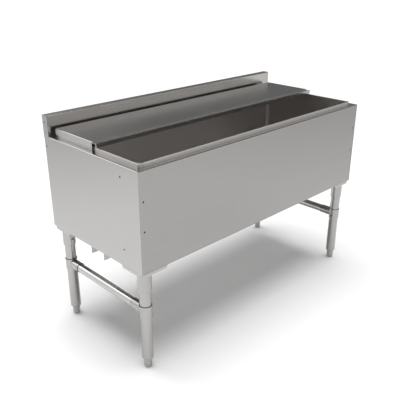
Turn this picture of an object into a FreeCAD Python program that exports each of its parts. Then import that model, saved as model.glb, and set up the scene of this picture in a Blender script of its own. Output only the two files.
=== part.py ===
import FreeCAD, Part

import math
import os

from FreeCAD import Vector

# Free-standing underbar ice bin: a coved bin in an insulated cabinet, with a low backsplash,
# a sliding cover over its rear half, and four tube legs on levelling feet.
# Millimetres. X runs along the length, Y from the operator's side to the wall, Z up.
# The origin is on the floor, under the middle of the cabinet.

# --- cabinet ---
overall_length = 1219.2
overall_depth = 533.4
working_height = 752.0          # floor to the ledge around the bin, with the feet screwed in
apron_height = 355.6
splash_rise = 76.2
splash_thickness = 31.75
splash_lap = 38.0               # how far the backsplash turns down over the back panel
back_panel_rise = 63.0          # back panel above the ledge, behind the backsplash

# --- sheet metal ---
sheet = 1.2
fold_radius = 1.2               # inside radius of a plain fold
panel_corner = 3.0              # outside radius where a panel folds into its returns
seam = 0.3                      # clearance between folded sheets that are welded together
base_flange = 25.4              # bottom returns of the outer panels
base_lap = 8.0                  # how far the closing sheet laps onto them
side_return = 18.0              # side returns of the apron

# --- bin ---
floor_space = 63.5              # bin's floor above the lower edge of the apron
bin_corner = 19.0               # inside radius of the coved corners
bin_bevel = 11.8                # flat on the hidden outside of the lower cove
rim_inset = 25.4                # ledge width outside the raised rim
rim_height = 12.7
rim_hem = 3.2                   # thickness of the folded rim
rim_nose = 1.4
rim_corner = 3.0                # the rim's outer corners are this much rounder than its hem
ledge_depth = 40.0              # blank depth of the ledges, before the bin is cut out of them

# --- holes for a bottle rail and for joining units ---
bolt_hole_radius = 3.2
rail_hole_inset = 17.5          # from each end of the apron
rail_hole_low = 152.4           # above the lower edge of the apron
rail_hole_pitch = 101.6
join_front_inset = 88.9         # from the apron to the front pair of joining holes
join_front_low = 63.5           # above the lower edge of the apron
join_front_drop = 38.1          # upper hole below the ledge
join_rear_inset = 12.7          # from the wall side to the rear pair
join_rear_drop = 25.4           # below the top of the backsplash
join_rear_pitch = 88.9
bolt_pocket = 18.0              # square relief in the insulation behind each hole
bolt_pocket_depth = 16.0

# --- drain ---
drain_x = 0.0
drain_y = 0.0
recess_radius = 50.0
recess_depth = 6.0
drain_flange_radius = 44.0
drain_flange_thickness = 4.0
spigot_radius = 21.0
spigot_length = 34.0
strainer_radius = 35.7
strainer_seat = 1.5
strainer_slots = 8
strainer_slot_width = 5.0
strainer_slot_start = 9.0       # from the strainer's middle
strainer_slot_end = 29.0
gasket_radius = 36.0
gasket_thickness = 3.0
locknut_flats = 56.0
locknut_height = 10.0
pipe_radius = 16.7              # one inch pipe
pipe_wall = 3.4
pipe_neck = 16.3                # turned down inside the cabinet
pipe_neck_drop = 3.0            # shoulder of the neck below the cabinet
pipe_engagement = 17.0
pipe_drop = 46.0                # below the cabinet
drain_fit = 0.1

# --- channel under the cabinet ---
channel_inset = 12.7
channel_width = 76.2
channel_height = 38.1
channel_wall = 2.0

# --- legs and their corner plates ---
leg_inset = 37.0                # leg axis from both faces of the corner
leg_radius = 20.65
leg_wall = 1.5
leg_fit = 0.1
gusset_size = 110.0
gusset_clip = 50.0
gusset_notch = 13.0
gusset_margin = 1.5
gusset_plate = 2.5
gusset_flange = 10.5            # how far the flanges hang below the apron
gusset_chamfer = 6.0
socket_wall = 3.25
socket_length = 76.2
socket_lip = 1.6

# --- cross rails and clamp tees ---
rail_drop = 82.6                # rail axis below the leg sockets
rail_radius = 17.0
rail_wall = 1.5
rail_gap = 26.0                 # rail end from the leg axis
tee_wall = 2.2
tee_below = 24.0
tee_above = 21.5
stub_reach = 65.0
stub_wall = 1.9

# --- feet ---
leg_clearance = 42.0            # floor to the end of the leg tube
plug_lip = 6.0
plug_lip_taper = 4.5
plug_length = 30.0
stem_radius = 6.25
stem_fit = 0.1
stem_length = 55.0
foot_top_radius = 14.75
foot_low_radius = 14.0
foot_nose = 8.0
foot_flat_radius = 9.0
foot_travel = 25.4

# --- sliding cover ---
cover_depth = 227.4
cover_clearance = 5.8           # skirt outside the rim, on each side
cover_gap = 17.95               # cover's rear edge to the backsplash
cover_rise = 19.05              # cover's top above the rim
cover_radius = 2.4
skirt_gap = 0.6                 # skirts above the ledge
skirt_setback = 4.4             # skirts behind the front fold
rear_flange = 16.75
pull_reach = 19.6
pull_step = 4.0                 # finger groove below the cover's top
pull_lip = 3.4
pull_lip_drop = 0.55
pull_fold = 0.4
pull_return = 4.5
pull_gap = 1.6                  # pull above the rim
pull_tongue = 17.0
glide_thickness = 6.3
glide_width = 14.0
glide_side_gap = 2.8            # from the skirt's inner face
glide_gap = 0.3                 # running gap of the glides above the rim
glide_setback = 7.0
bracket_setback = 3.0
bracket_reach = 1.0             # bracket web inside the coved corner
stop_drop = 8.7                 # stop tabs below the rim's top
stop_length = 15.0
stop_gap = 0.3
stiffener_top = 40.0
stiffener_bottom = 14.0
stiffener_depth = 9.5
stiffener_brim = 10.0
stiffener_inset = 5.0           # stiffener ends from the brackets

# --- derived places ---
half_length = overall_length / 2
half_depth = overall_depth / 2
apron_bottom = working_height - apron_height
splash_top = working_height + splash_rise
splash_face = half_depth - splash_thickness
rim_top = working_height + rim_height
bin_half = half_length - rim_inset - rim_hem
bin_front = -half_depth + rim_inset + rim_hem
bin_rear = splash_face - rim_inset - rim_hem
bin_floor = apron_bottom + floor_space
recess_floor = bin_floor - recess_depth
pan_bottom = apron_bottom + sheet
pan_inset = base_flange - base_lap
back_inner = half_depth - 2 * sheet
foam_floor_top = bin_floor - sheet - seam
foam_top = working_height - sheet - seam
liner_skin = sheet + seam
leg_x = half_length - leg_inset
leg_y = half_depth - leg_inset
join_front_pitch = apron_height - join_front_drop - join_front_low
plate_bottom = apron_bottom - gusset_plate
socket_radius = leg_radius + leg_fit + socket_wall
socket_bottom = plate_bottom - socket_length
rail_height = socket_bottom - rail_drop
tee_radius = leg_radius + leg_fit + tee_wall
tee_bottom = rail_height - tee_below
tee_top = rail_height + tee_above
stub_bore = rail_radius + leg_fit
stub_radius = stub_bore + stub_wall
foot_height = leg_clearance - plug_lip
cover_half = half_length - rim_inset + cover_clearance
cover_top = rim_top + cover_rise
cover_under = cover_top - sheet
cover_rear = splash_face - cover_gap
cover_front = cover_rear - cover_depth
skirt_bottom = working_height + skirt_gap
glide_bottom = rim_top + glide_gap
glide_top = glide_bottom + glide_thickness
bracket_web = bin_half - bin_corner - bracket_reach
cover_travel = cover_front + bracket_setback - bin_front - stop_gap

CORNERS = {"fl": (-1, -1), "fr": (1, -1), "rl": (-1, 1), "rr": (1, 1)}
X_AXIS = Vector(1, 0, 0)
Y_AXIS = Vector(0, 1, 0)
Z_AXIS = Vector(0, 0, 1)
ORIGIN = Vector(0, 0, 0)


# --- helpers ---
def block(x0, x1, y0, y1, z0, z1):
    """A box between two corners, given in any order."""
    low = Vector(min(x0, x1), min(y0, y1), min(z0, z1))
    return Part.makeBox(abs(x1 - x0), abs(y1 - y0), abs(z1 - z0), low)


def rod(radius, x, y, z0, z1):
    """An upright cylinder."""
    return Part.makeCylinder(radius, z1 - z0, Vector(x, y, z0))


def tube(outer, inner, x, y, z0, z1):
    """An upright tube."""
    return rod(outer, x, y, z0, z1).cut(rod(inner, x, y, z0, z1))


def prism(points, height):
    """A straight prism over a flat polygon."""
    outline = Part.makePolygon(points + [points[0]])
    return Part.Face(outline).extrude(height)


def hexagon(flats, x, y, z0, z1):
    """An upright hexagonal prism."""
    reach = flats / math.sqrt(3)
    turns = [math.radians(60 * k) for k in range(6)]
    points = [Vector(x + reach * math.cos(t), y + reach * math.sin(t), z0) for t in turns]
    return prism(points, Vector(0, 0, z1 - z0))


def revolve(profile, x, y):
    """A body turned about an upright axis; the profile lists (radius, height)."""
    points = [Vector(r, 0, z) for r, z in profile]
    face = Part.Face(Part.makePolygon(points + [points[0]]))
    body = face.revolve(ORIGIN, Z_AXIS, 360)
    body.translate(Vector(x, y, 0))
    return body


def fillet_where(shape, radius, test):
    """Round every edge whose two ends both pass the test."""
    chosen = [e for e in shape.Edges if all(test(v.Point) for v in e.Vertexes)]
    return shape.makeFillet(radius, chosen)


def near(a, b):
    """True when two lengths are the same to a thousandth."""
    return abs(a - b) < 0.001


def mirror_to(shape, sx, sy):
    """Carry a front-left piece to another corner."""
    if sx > 0:
        shape = shape.mirror(ORIGIN, X_AXIS)
    if sy > 0:
        shape = shape.mirror(ORIGIN, Y_AXIS)
    return shape


def rounded_edges(points, radii, place):
    """Edges of an open outline with its inner corners rounded."""
    edges = []
    cursor = points[0]
    for before, corner, after, radius in zip(points, points[1:], points[2:], radii):
        back = (before - corner).normalize()
        ahead = (after - corner).normalize()
        half_angle = back.getAngle(ahead) / 2
        reach = radius / math.tan(half_angle)
        start = corner + back * reach
        end = corner + ahead * reach
        inward = (back + ahead).normalize()
        middle = corner + inward * (radius / math.sin(half_angle) - radius)
        if (start - cursor).Length > 1e-6:
            edges.append(Part.LineSegment(place(cursor), place(start)).toShape())
        edges.append(Part.Arc(place(start), place(middle), place(end)).toShape())
        cursor = end
    edges.append(Part.LineSegment(place(cursor), place(points[-1])).toShape())
    return edges


def folded_sheet(outline, thickness, radius, place, run):
    """Sheet folded along a profile: the outline is its outer face, the metal lies to its right."""
    points = [Vector(u, v, 0) for u, v in outline]
    ways = [(b - a).normalize() for a, b in zip(points, points[1:])]
    rights = [Vector(w.y, -w.x, 0) for w in ways]
    hidden = [points[0] + rights[0] * thickness]
    outer_radii = []
    inner_radii = []
    for corner, first, second, way, following in zip(points[1:], rights, rights[1:], ways, ways[1:]):
        hidden.append(corner + (first + second) * (thickness / (1 + first.dot(second))))
        turns_left = way.x * following.y - way.y * following.x > 0
        outer_radii.append(radius if turns_left else radius + thickness)
        inner_radii.append(radius + thickness if turns_left else radius)
    hidden.append(points[-1] + rights[-1] * thickness)
    edges = rounded_edges(points, outer_radii, place)
    edges.append(Part.LineSegment(place(points[-1]), place(hidden[-1])).toShape())
    edges += rounded_edges(hidden[::-1], inner_radii[::-1], place)
    edges.append(Part.LineSegment(place(hidden[0]), place(points[0])).toShape())
    return Part.Face(Part.Wire(Part.__sortEdges__(edges))).extrude(run)


def along_x(outline, half_run, thickness=sheet, radius=fold_radius):
    """A folded sheet with its profile in Y and Z, as long as the run along X."""
    return folded_sheet(outline, thickness, radius,
                        lambda p: Vector(-half_run, p.x, p.y), Vector(2 * half_run, 0, 0))


def along_y(outline, y0, y1, thickness=sheet, radius=fold_radius):
    """A folded sheet with its profile in X and Z, running along Y."""
    return folded_sheet(outline, thickness, radius,
                        lambda p: Vector(p.x, y0, p.y), Vector(0, y1 - y0, 0))


def bin_prism(offset, z0, z1, corner=bin_corner):
    """The bin's rounded outline, grown by an offset, between two heights."""
    body = block(-bin_half - offset, bin_half + offset, bin_front - offset, bin_rear + offset, z0, z1)
    upright = [e for e in body.Edges if near(e.Vertexes[0].X, e.Vertexes[1].X)
               and near(e.Vertexes[0].Y, e.Vertexes[1].Y)]
    return body.makeFillet(corner + offset, upright)


# --- holes ---
def rail_hole_places():
    """Places of the holes in the apron for a bottle rail."""
    return [(side * (half_length - rail_hole_inset), apron_bottom + rail_hole_low + step * rail_hole_pitch)
            for side in (-1, 1) for step in (0, 1)]


def join_hole_places():
    """Places in Y and Z of the holes in each end for joining units."""
    front = -half_depth + join_front_inset
    rear = half_depth - join_rear_inset
    low = apron_bottom + join_front_low
    high = splash_top - join_rear_drop
    return [(front, low), (front, low + join_front_pitch), (rear, high - join_rear_pitch), (rear, high)]


def drill_rail_holes(shape):
    """Cut the bottle rail's holes through the apron."""
    drills = [Part.makeCylinder(bolt_hole_radius, ledge_depth, Vector(x, -half_depth, z), Y_AXIS)
              for x, z in rail_hole_places()]
    return shape.cut(drills)


def drill_join_holes(shape):
    """Cut the joining holes through the left end."""
    drills = [Part.makeCylinder(bolt_hole_radius, ledge_depth, Vector(-half_length, y, z), X_AXIS)
              for y, z in join_hole_places()]
    return shape.cut(drills)


def bolt_reliefs():
    """Square reliefs in the insulation behind every bolt hole."""
    reach = bolt_pocket / 2
    reliefs = [block(x - reach, x + reach, -half_depth, -half_depth + bolt_pocket_depth, z - reach, z + reach)
               for x, z in rail_hole_places()]
    for y, z in join_hole_places():
        for end in (-half_length, half_length - bolt_pocket_depth):
            reliefs.append(block(end, end + bolt_pocket_depth, y - reach, y + reach, z - reach, z + reach))
    return reliefs


# --- cabinet sheets ---
def mitre_wedges(front_side):
    """Wedges that mitre the ledge and base returns at the front-left corner."""
    x, y, reach = -half_length, -half_depth, ledge_depth + 2
    if front_side:
        corners = [(x + seam, y), (x + seam, y + reach), (x + seam + reach, y + reach)]
    else:
        corners = [(x + sheet, y - 1), (x + sheet, y + sheet + seam), (x + reach, y + reach + seam),
                   (x + reach, y - 1)]
    return [prism([Vector(u, v, z) for u, v in corners], Vector(0, 0, panel_corner + 1))
            for z in (apron_bottom - 1, working_height - panel_corner)]


def front_panel():
    """The apron: a pan with a ledge, a base return and two side returns."""
    side = half_length - sheet - seam
    front, rear = -half_depth, -half_depth + ledge_depth
    outer = block(-side, side, front, rear, apron_bottom, working_height)
    outer = fillet_where(outer, panel_corner, lambda p: near(p.y, front))
    inner = block(-side + sheet, side - sheet, front + sheet, rear + 1, pan_bottom, working_height - sheet)
    inner = fillet_where(inner, panel_corner - sheet, lambda p: near(p.y, front + sheet))
    pan = outer.cut(inner)
    trims = [bin_prism(liner_skin, working_height - ledge_depth, working_height + 1)]
    trims.append(block(-side - 1, side + 1, front + base_flange, rear + 1, apron_bottom - 1, pan_bottom + 1))
    for end in (-1, 1):
        trims.append(block(end * (side + 1), end * (side - sheet), front + side_return, rear + 1,
                           pan_bottom, working_height - sheet))
    for wedge in mitre_wedges(True):
        trims += [wedge, wedge.mirror(ORIGIN, X_AXIS)]
    pan = pan.cut(trims)
    return drill_rail_holes(pan)


def left_end_panel():
    """The left end: a pan with its ledge, and the closed end of the backsplash."""
    left, right = -half_length, -half_length + ledge_depth
    outer = block(left, right, -half_depth, half_depth, apron_bottom, working_height)
    outer = outer.makeFillet(panel_corner, pan_end_edges(outer, left))
    inner = block(left + sheet, right + 1, -half_depth - 9, half_depth - sheet,
                  pan_bottom, working_height - sheet)
    inner = inner.makeFillet(panel_corner - sheet, pan_end_edges(inner, left + sheet))
    splash_end = block(left, left + sheet, splash_face, half_depth,
                       working_height - 2 * panel_corner, splash_top)
    pan = outer.cut(inner).fuse(splash_end).removeSplitter()
    trims = [bin_prism(liner_skin, working_height - ledge_depth, working_height + 1)]
    trims.append(block(left + sheet, right + 1, splash_face, half_depth - sheet,
                       working_height - panel_corner, working_height + 1))
    trims.append(block(left + base_flange, right + 1, -half_depth - 1, half_depth - sheet,
                       apron_bottom - 1, pan_bottom + 1))
    trims.append(block(left + base_flange, right + 1, half_depth - panel_corner, half_depth + 1,
                       apron_bottom - 1, working_height + 1))
    pan = pan.cut(trims + mitre_wedges(False))
    return drill_join_holes(pan)


def pan_end_edges(body, x):
    """The folded edges on one end face of a pan: top, bottom and rear."""
    face = [e for e in body.Edges if all(near(v.X, x) for v in e.Vertexes)]
    front = min(v.Y for e in face for v in e.Vertexes)
    return [e for e in face if not all(near(v.Y, front) for v in e.Vertexes)]


def backsplash():
    """Rear ledge, splash face, top return and lap in one folded sheet."""
    end_ledge = half_length - ledge_depth - seam
    half_run = half_length - sheet - seam
    outline = [(splash_face - ledge_depth, working_height), (splash_face, working_height),
               (splash_face, splash_top), (half_depth, splash_top), (half_depth, splash_top - splash_lap)]
    body = along_x(outline, half_run, radius=panel_corner - sheet)
    trims = [bin_prism(liner_skin, working_height - ledge_depth, working_height + 1)]
    for end in (-1, 1):
        trims.append(block(end * end_ledge, end * (half_run + 1), splash_face - ledge_depth - 1, splash_face,
                           working_height - sheet - 1, working_height + panel_corner))
    return body.cut(trims)


def back_panel():
    """Plain rear sheet with a base return, behind the backsplash's lap."""
    rear = half_depth - sheet
    half_run = half_length - panel_corner - seam
    outline = [(rear, working_height + back_panel_rise), (rear, apron_bottom),
               (rear - base_flange, apron_bottom)]
    body = along_x(outline, half_run)
    inner_end = half_length - base_flange - seam
    clear_top = pan_bottom + panel_corner
    ends = [block(end * inner_end, end * (half_run + 1), rear - base_flange - 1, rear + 1,
                  apron_bottom - 1, clear_top) for end in (-1, 1)]
    return body.cut(ends)


def floor_slab(z0, z1):
    """A level slab that laps onto the base returns all round."""
    x, y = half_length - pan_inset, half_depth - pan_inset
    return block(-x, x, -y, y, z0, z1)


def bottom_pan():
    """Closing sheet that lies on the base returns, under the insulation."""
    pipe = rod(pipe_radius + 1, drain_x, drain_y, pan_bottom - 1, pan_bottom + sheet + 1)
    return floor_slab(pan_bottom, pan_bottom + sheet).cut(pipe)


def under_channel():
    """Lengthwise channel that stiffens the cabinet's floor."""
    half_width = channel_width / 2
    low = apron_bottom - channel_height
    outline = [(-half_width, low), (-half_width, apron_bottom), (half_width, apron_bottom), (half_width, low)]
    body = along_x(outline, half_length - channel_inset, thickness=channel_wall)
    pipe = rod(pipe_radius + 1, drain_x, drain_y, low, apron_bottom + 1)
    return body.cut(pipe)


# --- bin ---
def bin_liner():
    """The coved bin, with its drain recess and the hemmed rim that stands above the ledge."""
    shell_bottom = bin_floor - sheet
    shell = bin_prism(sheet, shell_bottom, rim_top - rim_nose)
    lowest = [e for e in shell.Edges if all(near(v.Z, shell_bottom) for v in e.Vertexes)]
    shell = shell.makeChamfer(bin_bevel, lowest)
    hem = bin_prism(rim_hem, working_height, rim_top, rim_corner)
    hem = fillet_where(hem, rim_nose, lambda p: near(p.z, rim_top))
    recess = rod(recess_radius + sheet, drain_x, drain_y, recess_floor - sheet, bin_floor)
    hollow = bin_prism(0, bin_floor, rim_top + rim_nose)
    hollow = fillet_where(hollow, bin_corner, lambda p: near(p.z, bin_floor))
    well = rod(recess_radius, drain_x, drain_y, recess_floor, bin_floor + 1)
    outlet = rod(spigot_radius + drain_fit, drain_x, drain_y, recess_floor - sheet - 1, recess_floor + 1)
    body = shell.fuse([hem, recess]).cut([hollow, well, outlet])
    return fillet_where(body.removeSplitter(), rim_nose, inside_rim_edge)


def bin_sheets():
    """The liner's five sheets, welded flush: a dished floor, two long sides and two ends with their coves."""
    liner = bin_liner()
    cove_top = bin_floor + bin_corner
    end = bin_half - bin_corner
    side = bin_front + bin_corner
    top = rim_top + 1
    cuts = {
        "bin_base": block(-half_length, half_length, -half_depth, half_depth, apron_bottom, cove_top),
        "bin_front_side": block(-end, end, -half_depth, side, cove_top, top),
        "bin_rear_side": block(-end, end, side, half_depth, cove_top, top),
        "bin_left_end": block(-half_length, -end, -half_depth, half_depth, cove_top, top),
        "bin_right_end": block(end, half_length, -half_depth, half_depth, cove_top, top),
    }
    return {name: liner.common(cut).Solids[0] for name, cut in cuts.items()}


def inside_rim_edge(point):
    """True on the sharp inner edge of the rim."""
    inside_x = abs(point.x) < bin_half + 0.01
    inside_y = bin_front - 0.01 < point.y < bin_rear + 0.01
    return near(point.z, rim_top) and inside_x and inside_y


def foam_floor():
    """Insulation under the bin, with a square well for the drain."""
    slab = floor_slab(pan_bottom + sheet, foam_floor_top)
    well = gasket_radius + 2
    recess = recess_radius + sheet + 2
    low = recess_floor - sheet - 2
    wells = [block(drain_x - well, drain_x + well, drain_y - well, drain_y + well, pan_bottom, low + 1),
             block(drain_x - recess, drain_x + recess, drain_y - recess, drain_y + recess, low, bin_floor)]
    return slab.cut(wells + bolt_reliefs())


def foam_wall(x0, x1, y0, y1):
    """One upright slab of insulation."""
    return block(x0, x1, y0, y1, foam_floor_top, foam_top).cut(bolt_reliefs())


def foam_walls():
    """The four upright slabs between the bin and the outer panels."""
    side = half_length - panel_corner
    wall_x = bin_half + liner_skin
    wall_front = bin_front - liner_skin
    wall_rear = bin_rear + liner_skin
    return {
        "foam_front": foam_wall(-side, side, -half_depth + panel_corner, wall_front),
        "foam_rear": foam_wall(-side, side, wall_rear, back_inner - seam),
        "foam_left": foam_wall(-side, -wall_x, wall_front, wall_rear),
        "foam_right": foam_wall(wall_x, side, wall_front, wall_rear),
    }


# --- drain ---
def drain_body():
    """Flanged drain body, turned, with a seat for the strainer and a socket for the pipe."""
    top = recess_floor + drain_flange_thickness
    seat = top - strainer_seat
    low = recess_floor - spigot_length
    shoulder = low + pipe_engagement
    bore = pipe_radius - pipe_wall
    profile = [(pipe_neck + drain_fit, low), (spigot_radius, low), (spigot_radius, recess_floor),
               (drain_flange_radius, recess_floor), (drain_flange_radius - strainer_seat, top),
               (strainer_radius + drain_fit, top), (strainer_radius + drain_fit, seat), (spigot_radius, seat),
               (bore, shoulder), (pipe_neck + drain_fit, shoulder)]
    return revolve(profile, drain_x, drain_y)


def drain_strainer():
    """Slotted plate that lies in the drain body's seat."""
    seat = recess_floor + drain_flange_thickness - strainer_seat
    plate = rod(strainer_radius, 0, 0, seat, seat + sheet)
    half = strainer_slot_width / 2
    slots = []
    for step in range(strainer_slots):
        slot = block(strainer_slot_start, strainer_slot_end, -half, half, seat - 1, seat + sheet + 1)
        slot.rotate(ORIGIN, Z_AXIS, 360 * step / strainer_slots)
        slots.append(slot)
    plate = plate.cut(slots)
    plate.translate(Vector(drain_x, drain_y, 0))
    return plate


def drain_gasket():
    """Rubber ring under the bin's floor."""
    top = recess_floor - sheet
    return tube(gasket_radius, spigot_radius + drain_fit, drain_x, drain_y, top - gasket_thickness, top)


def drain_locknut():
    """Hexagonal nut that draws the drain body down."""
    top = recess_floor - sheet - gasket_thickness
    nut = hexagon(locknut_flats, drain_x, drain_y, top - locknut_height, top)
    return nut.cut(rod(spigot_radius + drain_fit, drain_x, drain_y, top - locknut_height - 1, top + 1))


def drain_nipple():
    """Pipe nipple: its neck sits in the drain body, its full size shows below the cabinet."""
    top = recess_floor - spigot_length + pipe_engagement
    low = apron_bottom - pipe_drop
    shoulder = apron_bottom - pipe_neck_drop
    bore = pipe_radius - pipe_wall
    profile = [(bore, low), (pipe_radius, low), (pipe_radius, shoulder), (pipe_neck, shoulder),
               (pipe_neck, top), (bore, top)]
    return revolve(profile, drain_x, drain_y)


# --- legs, corner plates and rails ---
def gusset():
    """Front-left corner plate with two hanging flanges that have chamfered ends."""
    def at(a, b, z):
        return Vector(-half_length + a, -half_depth + b, z)

    edge, size, notch = gusset_margin, gusset_size, gusset_notch
    plan = [(notch, edge), (size, edge), (size, size - gusset_clip), (size - gusset_clip, size),
            (edge, size), (edge, notch), (notch, notch)]
    plate = prism([at(a, b, plate_bottom) for a, b in plan], Vector(0, 0, gusset_plate))
    low = apron_bottom - gusset_flange
    side_view = [(notch, apron_bottom), (size, apron_bottom), (size - gusset_chamfer, low), (notch + 1, low)]
    front = prism([at(a, edge, z) for a, z in side_view], Vector(0, gusset_plate, 0))
    side = prism([at(edge, b, z) for b, z in side_view], Vector(gusset_plate, 0, 0))
    return plate.fuse([front, side]).removeSplitter()


def leg_socket(sx, sy):
    """Round socket under a corner plate, chamfered below."""
    bore = leg_radius + leg_fit
    profile = [(bore, socket_bottom), (socket_radius - socket_lip, socket_bottom),
               (socket_radius, socket_bottom + socket_lip), (socket_radius, plate_bottom),
               (bore, plate_bottom)]
    return revolve(profile, sx * leg_x, sy * leg_y)


def leg(sx, sy):
    """Tube leg, from its socket down to its end plug."""
    return tube(leg_radius, leg_radius - leg_wall, sx * leg_x, sy * leg_y, leg_clearance, plate_bottom)


def leg_plug(sx, sy):
    """Threaded plug in the lower end of a leg, with a tapered lip."""
    core = leg_radius - leg_wall - leg_fit
    thread = stem_radius + stem_fit
    top = leg_clearance + plug_length
    profile = [(thread, foot_height), (leg_radius - plug_lip_taper, foot_height),
               (leg_radius, foot_height + plug_lip_taper), (leg_radius, leg_clearance),
               (core, leg_clearance), (core, top), (thread, top)]
    return revolve(profile, sx * leg_x, sy * leg_y)


def foot(sx, sy):
    """Bullet foot: a threaded stem on a tapered body with a blunt nose."""
    stem_top = foot_height + stem_length
    profile = [(0, 0), (foot_flat_radius, 0), (foot_low_radius, foot_nose),
               (foot_top_radius, foot_height), (stem_radius, foot_height),
               (stem_radius, stem_top), (0, stem_top)]
    return revolve(profile, sx * leg_x, sy * leg_y)


def level_rod(radius, x, y, z, sy, start, end):
    """A level cylinder that runs inwards along Y from a leg's axis."""
    return Part.makeCylinder(radius, end - start, Vector(x, y - sy * start, z), Vector(0, -sy, 0))


def tee(sx, sy):
    """Clamp tee: a collar on the leg with a stub for the rail."""
    x, y = sx * leg_x, sy * leg_y
    collar = rod(tee_radius, x, y, tee_bottom, tee_top)
    stub = level_rod(stub_radius, x, y, rail_height, sy, 0, stub_reach)
    bores = [rod(leg_radius + leg_fit, x, y, tee_bottom - 1, tee_top + 1),
             level_rod(stub_bore, x, y, rail_height, sy, rail_gap - 1, stub_reach + 1)]
    return collar.fuse(stub).removeSplitter().cut(bores)


def cross_rail(sx):
    """Front-to-back rail between the tees of one end."""
    length = 2 * (leg_y - rail_gap)
    start = Vector(sx * leg_x, -leg_y + rail_gap, rail_height)
    outer = Part.makeCylinder(rail_radius, length, start, Y_AXIS)
    return outer.cut(Part.makeCylinder(rail_radius - rail_wall, length, start, Y_AXIS))


# --- sliding cover ---
def cover_pan():
    """The cover: a flat top with side skirts and short front and rear flanges."""
    half, front, rear, low = cover_half, cover_front, cover_rear, skirt_bottom
    outer = block(-half, half, front, rear, low, cover_top)
    outer = fillet_where(outer, cover_radius, lambda p: near(p.z, cover_top))
    inner = block(-half + sheet, half - sheet, front + sheet, rear - sheet, low - 1, cover_under)
    inner = fillet_where(inner, cover_radius - sheet, lambda p: near(p.z, cover_under))
    pan = outer.cut(inner)
    inside = half - sheet
    front_open = block(-inside, inside, front - 1, front + sheet + 1, low - 1, cover_top - pull_step)
    rear_open = block(-inside, inside, rear - sheet - 1, rear + 1, low - 1, cover_top - rear_flange)
    skirt_ends = [block(end * (inside - seam), end * (half + 1), front - 1, front + skirt_setback,
                        low - 1, cover_top - cover_radius) for end in (-1, 1)]
    return pan.cut([front_open, rear_open] + skirt_ends)


def cover_pull():
    """Folded front rail of the cover, with a finger groove behind its lip."""
    nose = cover_front - pull_reach
    low = rim_top + pull_gap
    lip_top = cover_top - pull_lip_drop
    groove = cover_top - pull_step
    half_run = cover_half - sheet - seam
    outline = [(nose + pull_return, low), (nose, low), (nose, lip_top), (nose + pull_lip, lip_top),
               (nose + pull_lip, groove), (cover_front + pull_tongue, groove)]
    rail = along_x(outline, half_run, radius=pull_fold)
    tabs = [block(end * half_run, end * (half_run - sheet), nose + sheet, nose + pull_return,
                  low + sheet, groove - sheet / 2) for end in (-1, 1)]
    return rail.fuse(tabs).removeSplitter()


def glide_bracket():
    """Left bracket under the cover: it carries a glide, and its tabs stop the travel."""
    outside = -cover_half + 2 * sheet + seam
    outline = [(outside, cover_under), (-bracket_web, cover_under),
               (-bracket_web, glide_top), (outside, glide_top)]
    start = cover_front + pull_tongue + seam
    channel = along_y(outline, start, cover_rear - bracket_setback)
    tab_low = rim_top - stop_drop
    tab_x = -bracket_web - sheet
    tab_top = glide_top + 2 * fold_radius
    front_stop = cover_front + bracket_setback
    rear_stop = bin_rear - stop_gap
    front_tab = block(tab_x, tab_x + sheet, front_stop, start + stop_length, tab_low, tab_top)
    rear_tab = block(tab_x, tab_x + sheet, rear_stop - stop_length, rear_stop, tab_low, tab_top)
    return channel.fuse([front_tab, rear_tab]).removeSplitter()


def glide():
    """Left glide: a plastic strip that runs on the rim."""
    outside = -cover_half + sheet + glide_side_gap
    return block(outside, outside + glide_width, cover_front + glide_setback, cover_rear - bracket_setback,
                 glide_bottom, glide_top)


def cover_stiffener():
    """Hat section across the underside of the cover."""
    middle = (cover_front + cover_rear) / 2
    top, bottom = stiffener_top / 2, stiffener_bottom / 2
    low = cover_under - stiffener_depth
    outline = [(middle - top - stiffener_brim, cover_under), (middle - top, cover_under),
               (middle - bottom, low), (middle + bottom, low),
               (middle + top, cover_under), (middle + top + stiffener_brim, cover_under)]
    return along_x(outline, bracket_web - stiffener_inset)


# --- all pieces ---
def fixed_nodes():
    """Every node of the cabinet and its legs."""
    left_end = left_end_panel()
    nodes = {
        "front_panel": front_panel(), "left_end_panel": left_end,
        "right_end_panel": left_end.mirror(ORIGIN, X_AXIS), "backsplash": backsplash(),
        "back_panel": back_panel(), "bottom_pan": bottom_pan(), "under_channel": under_channel(),
        "foam_floor": foam_floor(), "drain_body": drain_body(),
        "drain_strainer": drain_strainer(), "drain_gasket": drain_gasket(), "drain_locknut": drain_locknut(),
        "drain_nipple": drain_nipple(), "rail_left": cross_rail(-1), "rail_right": cross_rail(1),
    }
    nodes.update(bin_sheets())
    nodes.update(foam_walls())
    corner_plate = gusset()
    for corner, (sx, sy) in CORNERS.items():
        nodes["gusset_" + corner] = mirror_to(corner_plate, sx, sy)
        nodes["socket_" + corner] = leg_socket(sx, sy)
        nodes["leg_" + corner] = leg(sx, sy)
        nodes["leg_plug_" + corner] = leg_plug(sx, sy)
        nodes["tee_" + corner] = tee(sx, sy)
    return nodes


def moving_nodes():
    """Every node of the sliding cover and the levelling feet."""
    left_bracket = glide_bracket()
    left_glide = glide()
    nodes = {
        "cover_pan": cover_pan(), "cover_pull": cover_pull(), "cover_stiffener": cover_stiffener(),
        "glide_bracket_left": left_bracket, "glide_bracket_right": left_bracket.mirror(ORIGIN, X_AXIS),
        "glide_left": left_glide, "glide_right": left_glide.mirror(ORIGIN, X_AXIS),
    }
    for corner, (sx, sy) in CORNERS.items():
        nodes["foot_" + corner] = foot(sx, sy)
    return nodes


os.makedirs("parts", exist_ok=True)
for name, shape in {**fixed_nodes(), **moving_nodes()}.items():
    if not shape.isValid():
        raise ValueError("invalid solid: " + name)
    shape.exportStep("parts/" + name + ".step")
print("cover travel", round(cover_travel, 2), "foot travel", foot_travel)
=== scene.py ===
"""Dresses a free-standing underbar ice bin: brushed steel, small fittings, a white studio and a camera."""

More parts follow.
